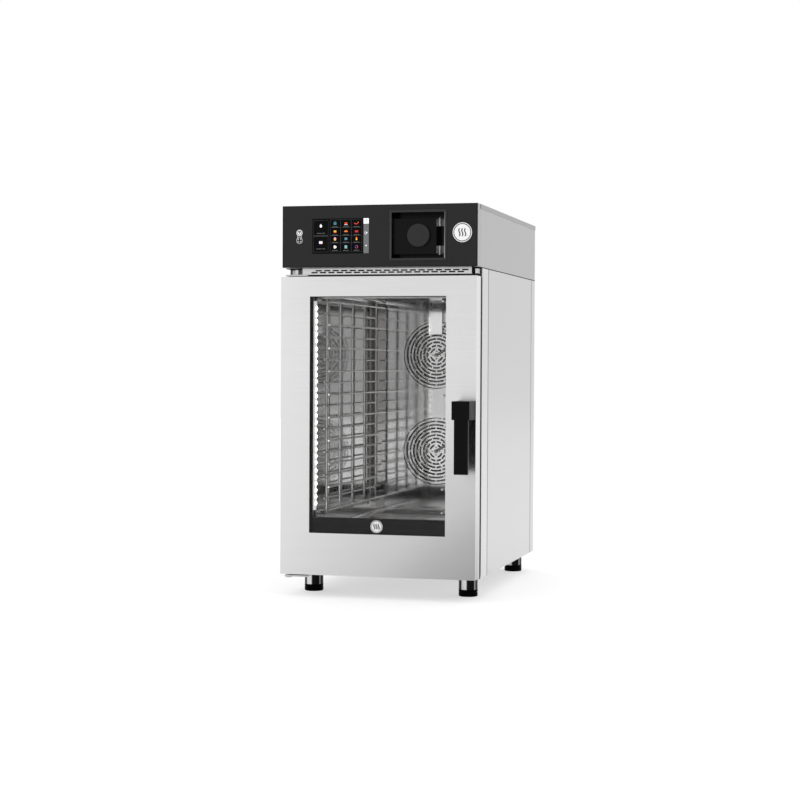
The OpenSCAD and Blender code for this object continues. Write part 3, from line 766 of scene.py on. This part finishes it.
def draw_muffin(p, x, z, u):
    p.shape([(x - 1.6 * u, z - 3.2 * u), (x + 1.6 * u, z - 3.2 * u),
             (x + 2.3 * u, z - 0.4 * u), (x - 2.3 * u, z - 0.4 * u)], LIT["yellow"])
    p.shape(arc(x, z, 2.9 * u, 0, 180, 12), LIT["pink"])
    p.disc(x, z + 3.2 * u, 0.6 * u, LIT["white"], 10)


def draw_parcel(p, x, z, u):
    p.block((x - 3 * u, x + 3 * u), (z - 2.6 * u, z + 2.6 * u), LIT["teal"], 0.6 * u)
    p.block((x - u, x + u), (z - u, z + u), LIT["white"])


def draw_flame(p, x, z, u):
    outline = []
    for i in range(16):
        a = math.tau * i / 16
        lift = (1 - math.cos(a)) / 2
        outline.append((x + 2.4 * u * math.sin(a) * (1 - 0.55 * lift),
                        z + (7 * lift - 3.2) * u))
    p.shape(outline, LIT["orange"])
    p.disc(x, z - 1.6 * u, u, LIT["yellow"], 10)


def draw_egg(p, x, z, u):
    outline = []
    for i in range(24):
        a = math.tau * i / 24
        reach = (3.1 + 0.4 * math.cos(3 * a)) * u
        outline.append((x + reach * math.cos(a), z + reach * math.sin(a)))
    p.shape(outline, LIT["white"])


def draw_hat(p, x, z, u):
    """A cook's hat: three puffs over a band."""
    p.block((x - 2 * u, x + 2 * u), (z - 3 * u, z - 0.6 * u), LIT["white"])
    p.block((x - 3 * u, x + 3 * u), (z - 0.4 * u, z + 1.6 * u), LIT["white"], 0.9 * u)
    p.shape(arc(x, z + 1.8 * u, 2 * u, 0, 180, 10), LIT["white"])


def draw_book(p, x, z, u):
    """An open book with two coloured lines."""
    p.block((x - 3.4 * u, x - 0.3 * u), (z - 2.6 * u, z + 2.8 * u), LIT["white"])
    p.block((x + 0.3 * u, x + 3.4 * u), (z - 2.6 * u, z + 2.8 * u), LIT["white"])
    p.block((x - 4.2 * u, x - 3.6 * u), (z - 3 * u, z + 2.2 * u), LIT["blue"])
    p.block((x + 3.6 * u, x + 4.2 * u), (z - 3 * u, z + 2.2 * u), LIT["red"])


def draw_layers(p, x, z, u):
    for level in (-2.2, 0, 2.2):
        p.block((x - 2.8 * u, x + 2.8 * u),
                (z + (level - 0.8) * u, z + (level + 0.8) * u),
                LIT["pale_teal"], 0.7 * u)


def draw_dial(p, x, z, u):
    p.ring(x, z, 2.2 * u, 3.3 * u, LIT["red"], -100, 80, 14)
    p.ring(x, z, 2.2 * u, 3.3 * u, LIT["blue"], 84, 254, 14)


def caption(p, x, z, width):
    """Two plain bars in the place of a label."""
    half = 0.55 * MM
    for start, end in ((-0.5, 0.1), (0.16, 0.5)):
        p.block((x + width * start, x + width * end), (z - half, z + half), LIT["grey"])


def make_screen_image():
    """Plain pictures of food groups in a grid, two large tiles and a side bar."""
    image = Print(SCREEN_Y - PLATE)
    upper = Print(SCREEN_Y - 2 * PLATE)
    width = SCREEN_X[1] - SCREEN_X[0]
    height = SCREEN_Z[1] - SCREEN_Z[0]

    def at(u, v):
        return SCREEN_X[0] + width * u, SCREEN_Z[0] + height * v

    line = 0.35 * MM
    half = line / 2
    columns = (0.402, 0.595, 0.782)
    rows = (0.86, 0.63, 0.42, 0.19)
    pictures = (draw_pot, draw_roast, draw_chilli, draw_cake, draw_croissant,
                draw_sausages, draw_muffin, draw_parcel, draw_flame, draw_egg,
                draw_layers, draw_dial)
    for i, draw in enumerate(pictures):
        x, z = at(columns[i % 3], rows[i // 3])
        draw(image, x, z, 1.25 * MM)
        caption(image, x, z - 9 * MM, 15 * MM)
    x, z = at(columns[0], rows[3])
    upper.disc(x, z, 1.6 * MM, LIT["orange"], 12)
    x, z = at(columns[2], rows[2])
    upper.disc(x, z - 2 * MM, 1.6 * MM, LIT["yellow"], 12)
    for v in (0.745, 0.515, 0.305):
        left, level = at(0.32, v)
        right = at(0.87, v)[0]
        image.block((left, right), (level - half, level + half), LIT["line"])
    for u in (0.5, 0.69):
        place, low = at(u, 0.06)
        high = at(u, 0.95)[1]
        image.block((place - half, place + half), (low, high), LIT["line"])
    left, level = at(0.02, 0.51)
    image.block((left, at(0.28, 0)[0]), (level - line, level + line), LIT["line"])
    for left, right, low, high in ((0.02, 0.28, 0.05, 0.49), (0.02, 0.28, 0.53, 0.95),
                                   (0.315, 0.875, 0.05, 0.965)):
        x, z = zip(at(left, low), at(right, high))
        for level in z:
            image.block(x, (level, level + line), LIT["edge"])
        for place in x:
            image.block((place, place + line), (z[0] + line, z[1]), LIT["edge"])

    x, z = at(0.15, 0.79)
    draw_hat(image, x, z, 1.2 * MM)
    caption(image, x, at(0, 0.585)[1], 22 * MM)
    x, z = at(0.15, 0.32)
    draw_book(image, x, z, 1.2 * MM)
    caption(image, x, at(0, 0.14)[1], 24 * MM)

    edge = 0.4 * MM
    bar = (at(0.905, 0)[0], SCREEN_X[1] - edge)
    split = at(0, 0.84)[1]
    image.block(bar, (SCREEN_Z[0] + edge, split), LIT["grey"])
    image.block(bar, (split + 0.2 * MM, SCREEN_Z[1] - edge), LIT["white"])
    middle = sum(bar) / 2
    for left, right, low, high in ((0, 3, 0.565, 0.61), (-3.6, -2.8, 0.54, 0.635),
                                   (-2.8, 1, 0.54, 0.55)):
        upper.block((middle + left * MM, middle + right * MM),
                    (at(0, low)[1], at(0, high)[1]), LIT["white"])
    for v, reach in ((0.955, 5.2), (0.91, 4.4), (0.865, 2)):
        level = at(0, v)[1]
        upper.block((middle + (3 - reach) * MM, middle + 3.4 * MM),
                    (level, level + 1.1 * MM), LIT["line"])
    upper.disc(middle, at(0, 0.22)[1], 1.7 * MM, LIT["white"], 12)
    image.piece("screen_image", "root")
    upper.piece("screen_marks", "root")


def make_power_mark():
    """Two linked rings: the standby mark and a plain indicator."""
    white = glowing("mark_white", grey(0.5), 0.25)
    bright = glowing("mark_bright", grey(0.9), 0.45)
    mark = Print(FASCIA.y - PLATE)
    x = (SCREEN_X[0] + FASCIA.x) / 2 + 4.6 * MM
    z = sum(SCREEN_Z) / 2 - 0.4 * MM
    upper = z + 9.7 * MM
    lower = z - 9.7 * MM
    mark.ring(x, upper, 5.4 * MM, 8.5 * MM, white)
    mark.ring(x, upper, 2.2 * MM, 4.2 * MM, bright, 150, 390, 20)
    mark.block((x - 0.7 * MM, x + 0.7 * MM), (upper + 0.4 * MM, upper + 4.4 * MM),
               white)
    mark.ring(x, lower, 7.3 * MM, 8.4 * MM, white)
    for start in (29, 119, 209, 299):
        mark.ring(x, lower, 2.8 * MM, 6.4 * MM, white, start, start + 32, 4)
    for side in (-5.6 * MM, 4.2 * MM):
        mark.block((x + side, x + side + 1.4 * MM),
                   (lower + 6.6 * MM, upper - 6.6 * MM), white)
    mark.piece("power_mark", "root")


def steam_wave(p, x, z0, z1, ink, half):
    """One rising wavy line of steam, 2 * half wide."""
    rows = [[], []]
    for i in range(13):
        t = i / 12
        shift = 1.5 * MM * math.sin(math.tau * t)
        for row, side in zip(rows, (1, -1)):
            row.append((x + shift + side * half, z0 + (z1 - z0) * t))
    p.band(rows[0], rows[1], ink)


def make_badge_print():
    """Plain round badge: a ring and three lines of steam."""
    ink = printed("badge_ink", grey(0.01))
    badge = Print(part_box("badge")[0].y - PLATE)
    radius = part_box("badge")[1].x - BADGE.x
    badge.ring(BADGE.x, BADGE.z, radius * 0.84, radius * 0.92, ink, count=48)
    for i in (-1, 0, 1):
        steam_wave(badge, BADGE.x + i * 7.5 * MM, BADGE.z - 10 * MM, BADGE.z + 10 * MM,
                   ink, 1.5 * MM)
    badge.piece("badge_print", "root")


def make_window_print():
    """Black band and border printed on the back of the outer glass."""
    ink = moulded("glass_black", grey(0.011), grey(0.014), (0.2, 0.3),
                  Specular_IOR_Level=0.08)
    white = printed("glass_white", grey(0.8), (0.2, 0.3))
    dark = printed("glass_mark_dark", grey(0.02), (0.2, 0.3))
    gap = 0.01 * MM
    rim = 1.6 * MM
    top = WINDOW_Z[0] + 41 * MM
    left = WINDOW_X[0] + 8 * MM
    right = WINDOW_X[1] - rim
    band = Print(glass_high.y + 0.05 * MM, 0.15 * MM)
    band.block((glass_low.x, glass_high.x), (glass_low.z, top), ink)
    band.block((glass_low.x, left), (top + gap, glass_high.z), ink)
    band.block((right, glass_high.x), (top + gap, glass_high.z), ink)
    band.block((left + gap, right - gap), (WINDOW_Z[1] - rim, glass_high.z), ink)
    band.piece("window_print", "door")

    middle = (WINDOW_Z[0] + top) / 2
    front = Print(glass_low.y - 2 * PLATE)
    for i in (-1, 0, 1):
        steam_wave(front, i * 6 * MM, middle - 7 * MM, middle + 7 * MM, dark, 1.7 * MM)
    front.piece("glass_mark_print", "door")
    mark = Print(glass_low.y - PLATE)
    mark.disc(0, middle, 13.2 * MM, white, 36)
    mark.ring(0, middle, 13.3 * MM, 14.4 * MM, dark, count=36)
    mark.ring(0, middle, 14.5 * MM, 16 * MM, white, count=36)
    mark.piece("glass_mark", "door")


make_screen_image()
make_power_mark()
make_badge_print()
make_window_print()


# ---------- fasteners ----------


def screw_heads(name, body, material, places, axis, radius):
    """Pan heads with a six-lobed socket, seated on the points and facing axis."""
    mesh = bmesh.new()
    turn = Vector((0, 0, 1)).rotation_difference(Vector(axis)).to_matrix()
    profile = ((1.0, 0.0), (1.0, 0.18), (0.92, 0.36), (0.72, 0.5), (0.5, 0.54),
               (0.46, 0.5), (0.4, 0.2))
    count = 24
    for place in places:
        rings = []
        for r, h in profile:
            lobes = 0.12 if r < 0.5 else 0.0
            ring = []
            for i in range(count):
                a = math.tau * i / count
                reach = radius * r * (1 + lobes * math.cos(6 * a))
                point = Vector((reach * math.cos(a), reach * math.sin(a), radius * h))
                ring.append(mesh.verts.new(Vector(place) + turn @ point))
            rings.append(ring)
        for low, high in zip(rings, rings[1:]):
            for i in range(count):
                j = (i + 1) % count
                mesh.faces.new((low[i], low[j], high[j], high[i])).smooth = True
        mesh.faces.new(rings[0][::-1])
        mesh.faces.new(rings[-1])
    add_piece(name, mesh_data(name, mesh, material), body)


def make_fasteners():
    low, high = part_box("rear_panel")
    inset = 9 * MM
    places = [(x, high.y, z) for x in (low.x + inset, 0, high.x - inset)
              for z in (low.z + inset, (low.z + high.z) / 2, high.z - inset)]
    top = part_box("upper_housing")[1]
    places += [(x, high.y, z) for x in (low.x + inset, 0, high.x - inset)
               for z in (high.z + 2 * inset, top.z - 3 * inset)]
    screw_heads("rear_screws", "root", bright_chrome, places, (0, 1, 0),
                4 * MM)
    low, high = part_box("fan_baffle")
    inset = 7 * MM
    places = [(x, low.y, low.z + (high.z - low.z) * share)
              for x in (low.x + inset, high.x - inset)
              for share in (0.03, 0.22, 0.5, 0.78, 0.97)]
    screw_heads("baffle_screws", "root", bright_chrome, places,
                (0, -1, 0), 3.2 * MM)


make_fasteners()


# ---------- small fitted parts ----------


def prism(mesh, outline, start, end, axis=0):
    """A closed outline in the two other axes, drawn out along one axis."""
    ends = []
    for place in (start, end):
        row = []
        for a, b in outline:
            point = [a, b]
            point.insert(axis, place)
            row.append(mesh.verts.new(point))
        ends.append(row)
    near, far = ends
    mesh.faces.new(near[::-1])
    mesh.faces.new(far)
    for i, corner in enumerate(near):
        j = (i + 1) % len(near)
        mesh.faces.new((corner, near[j], far[j], far[i])).smooth = True


def finished(mesh, name, body, material):
    """Turn a bmesh into a smooth piece with sharp edges where it bends a lot."""
    bmesh.ops.recalc_face_normals(mesh, faces=mesh.faces)
    data = mesh_data(name, mesh, material)
    data.set_sharp_from_angle(angle=math.radians(35))
    add_piece(name, data, body)


def make_cavity_coves():
    """Rounded corners where the back wall meets the cavity's floor and ceiling."""
    low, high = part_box("cavity_shell")
    sheet = 2 * MM
    back = high.y - sheet
    radius = 12 * MM
    mesh = bmesh.new()
    for level, side in ((low.z + sheet, 1), (high.z - sheet, -1)):
        outline = [(back, level)]
        for a in swing(0, 90):
            outline.append((back - radius + radius * math.sin(a),
                            level + side * (radius - radius * math.cos(a))))
        prism(mesh, outline, low.x + 7 * sheet, high.x - 7 * sheet)
    finished(mesh, "cavity_coves", "root", trim_chrome)


def make_cavity_rails():
    """Bright rounded strips along both side walls below the lowest tray level."""
    low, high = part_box("cavity_shell")
    level = 0.213
    wall = 2.2 * MM
    mesh = bmesh.new()
    for face, side in ((low.x + wall, 1), (high.x - wall, -1)):
        outline = [(face, level + 5.5 * MM), (face, level)]
        for a in swing(0, 90):
            outline.append((face + side * 4 * MM * math.sin(a),
                            level + (1 + 4.5 * (1 - math.cos(a))) * MM))
        prism(mesh, outline, low.y + 12 * MM, low.y + 400 * MM, axis=1)
    finished(mesh, "cavity_rails", "root", trim_chrome)


def make_slot_shade_sheet():
    """Pleated black sheet behind the slots over the door, painted shade that darkens
    the slots.
    """
    low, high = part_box("vent_strip")
    front = low.y + 2.2 * MM
    pleats = 120
    mesh = bmesh.new()
    outline = []
    for i in range(pleats + 1):
        x = low.x + 32 * MM + (high.x - low.x - 64 * MM) * i / pleats
        outline.append((x, front + (i % 2) * 2 * MM))
    backing = [(outline[-1][0], front + 3 * MM), (outline[0][0], front + 3 * MM)]
    prism(mesh, outline + backing, low.z + 2 * MM, high.z - 2 * MM, axis=2)
    finished(mesh, "slot_shade_sheet", "root", rubber)


def make_seam_shade_beads():
    """Black beads in the seams between lower body and upper housing, painted shade in
    the gaps.
    """
    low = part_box("side_panel_right")[1].z
    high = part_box("upper_housing")[0].z
    start, end = [corner.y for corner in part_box("upper_housing")]
    middle = (low + high) / 2
    half = (high - low) / 2 + 0.35 * MM
    for name, side, node in (("seam_shade_bead_left", -1, "side_panel_left"),
                             ("seam_shade_bead_right", 1, "side_panel_right")):
        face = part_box(node)[0 if side < 0 else 1].x
        mesh = bmesh.new()
        outline = [(face - side * MM, middle + half), (face - side * MM, middle - half)]
        for a in swing(-90, 90):
            outline.append((face + side * 0.4 * MM * math.cos(a),
                            middle + half * math.sin(a)))
        prism(mesh, outline, start + 0.5 * MM, end, axis=1)
        finished(mesh, name, "root", rubber)


def make_recess_clips():
    """Sprung metal clips at the back of the slot beside the knob's plate."""
    low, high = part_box("niche_tray")
    f = Finish("clip_steel_painted_highlight", metallic=1.0)
    streak = f.noise(600, along(2), detail=3)
    # painted highlight: a bright band at the clips' inner end, darker beyond
    across = f.span(f.place("X"), 0, 1, high.x - 25 * MM, high.x - 2.5 * MM)
    f.tint(f.ramp(streak, grey(0.9), grey(1.0)),
           f.stops(across, (0.0, 0.8), (0.14, 0.8), (0.22, 0.06), (1.0, 0.16)))
    f.roughness(streak, 0.3, 0.4)
    f.bump(streak, 0.002 * MM)
    back = high.y - 10.05 * MM
    mesh = bmesh.new()
    for bottom in (low.z + 11 * MM, high.z - 36 * MM):
        outer = [(back - 2.2 * MM * math.sin(a), bottom + 3 * MM * i)
                 for i, a in enumerate(swing(0, 180))]
        inner = [(back + 0.02 * MM - 1.2 * MM * math.sin(a), bottom + 3 * MM * i)
                 for i, a in enumerate(swing(0, 180))]
        prism(mesh, outer + inner[::-1], high.x - 25 * MM, high.x - 2.5 * MM)
    finished(mesh, "recess_clips", "root", f.material)


def make_bezel_edges():
    """Bevelled satin edges down both sides of the recess frame, with a painted
    highlight brighter towards the bottom and the right.
    """
    f = Finish("bezel_edge", metallic=0.6)
    marks = f.noise(500, along(2, 0.05), detail=2)
    low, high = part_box("niche_bezel")
    # painted highlight: the tone rises towards the bottom and the right
    height = f.span(f.place("Z"), 1, 0, low.z, high.z)
    side = f.span(f.place("X"), 0, 1, low.x, high.x)
    f.tint(f.ramp(marks, grey(0.85), grey(1.0)),
           f.stops(f.blend(height, side, 0.65), (0.0, 0.05), (0.35, 0.09),
                   (0.65, 0.14), (1.0, 0.42)))
    f.roughness(marks, 0.3, 0.4)
    f.bump(marks, 0.002 * MM)
    rim = 6 * MM
    profile = ((0, 1.4), (0.1, 0.2), (0.5, -0.25), (1.7, -0.3), (2.0, 0.05), (2.0, 1.4))
    mesh = bmesh.new()
    for inner, side in ((low.x + rim, -1), (high.x - rim, 1)):
        outline = [(inner + side * out * MM, low.y + depth * MM)
                   for out, depth in profile]
        prism(mesh, outline, low.z + rim, high.z - rim, axis=2)
    finished(mesh, "bezel_edges", "root", f.material)


make_cavity_coves()
make_cavity_rails()
make_slot_shade_sheet()
make_seam_shade_beads()
make_recess_clips()
make_bezel_edges()


# ---------- floor, light ----------


def make_floor():
    """Pale floor that gives off a little light, so that the shadow stays faint."""
    f = Finish("floor", Emission_Color=grey(1.0), Emission_Strength=0.5)
    cloud = f.noise(1.5, detail=2)
    f.colour(cloud, 0.48, 0.49)
    f.roughness(cloud, 0.8, 0.9)
    mesh = bmesh.new()
    bmesh.ops.create_grid(mesh, x_segments=8, y_segments=8, size=14)
    add_object("floor", mesh_data("floor", mesh, f.material))


def softbox(name, place, aim, size, radiance, seen=True):
    """A rectangular studio light that shows up with the given brightness."""
    data = bpy.data.lights.new(name, "AREA")
    data.shape = "RECTANGLE"
    data.size, data.size_y = size
    data.energy = radiance * math.pi * size[0] * size[1]
    light = add_object(name, data)
    light.location = place
    sight = Vector(aim) - Vector(place)
    light.rotation_euler = sight.to_track_quat("-Z", "Y").to_euler()
    light.visible_camera = False
    light.visible_glossy = seen


def mix_values(tree, share, a, b):
    node = tree.nodes.new("ShaderNodeMix")
    feed(tree, (node.inputs[0], node.inputs[2], node.inputs[3]), (share, a, b))
    return node.outputs[0]


def make_studio():
    """Pale surroundings, brighter overhead and to the left, and soft lights."""
    world = bpy.data.worlds.new("studio")
    bpy.context.scene.world = world
    world.use_nodes = True
    tree = world.node_tree
    background = tree.nodes["Background"]
    direction = tree.nodes.new("ShaderNodeTexCoord").outputs["Generated"]
    parts = tree.nodes.new("ShaderNodeSeparateXYZ")
    tree.links.new(direction, parts.inputs[0])
    walls = map_range(tree, parts.outputs["X"], 1.05, 0.55, -0.5, 0.3)
    back = map_range(tree, parts.outputs["Y"], 0, 1, -0.2, 0.3)
    around = mix_values(tree, back, walls, 0.95)
    above = map_range(tree, parts.outputs["Z"], 0, 1, 0.12, 0.5)
    lit = mix_values(tree, above, around, 1.2)
    sight = tree.nodes.new("ShaderNodeLightPath").outputs["Is Camera Ray"]
    strength = mix_values(tree, sight, lit, 1.0)
    tree.links.new(strength, background.inputs["Strength"])
    background.inputs["Color"].default_value = grey(1.0)
    softbox("key_left", (-2.6, -3.4, 1.5), (0, -0.3, 0.55), (2.6, 2.4), 0.30)
    softbox("key_right", (2.4, -2.6, 2.4), (0, -0.3, 0.7), (1.2, 1.2), 0.8)
    softbox("top", (0.2, -0.1, 3.0), (0, 0, 0), (3.2, 3.2), 0.2)
    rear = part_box("cavity_shell")[1].y - 3 * MM
    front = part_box("fan_baffle")[1].y + 2 * MM
    softbox("behind_baffle", (0, rear, 0.48), (0, 0, 0.48), (0.30, 0.60), 0.10)
    softbox("through_grille", (0, front, 0.48), (0, 1, 0.48), (0.30, 0.60), 0.14)
    softbox("lamp_bar_light", (-0.166, -0.30, 0.49), (0.1, 0.2, 0.49), (0.02, 0.5), 12,
            seen=False)


make_floor()
make_studio()
bpy.context.scene.view_settings.view_transform = "Standard"
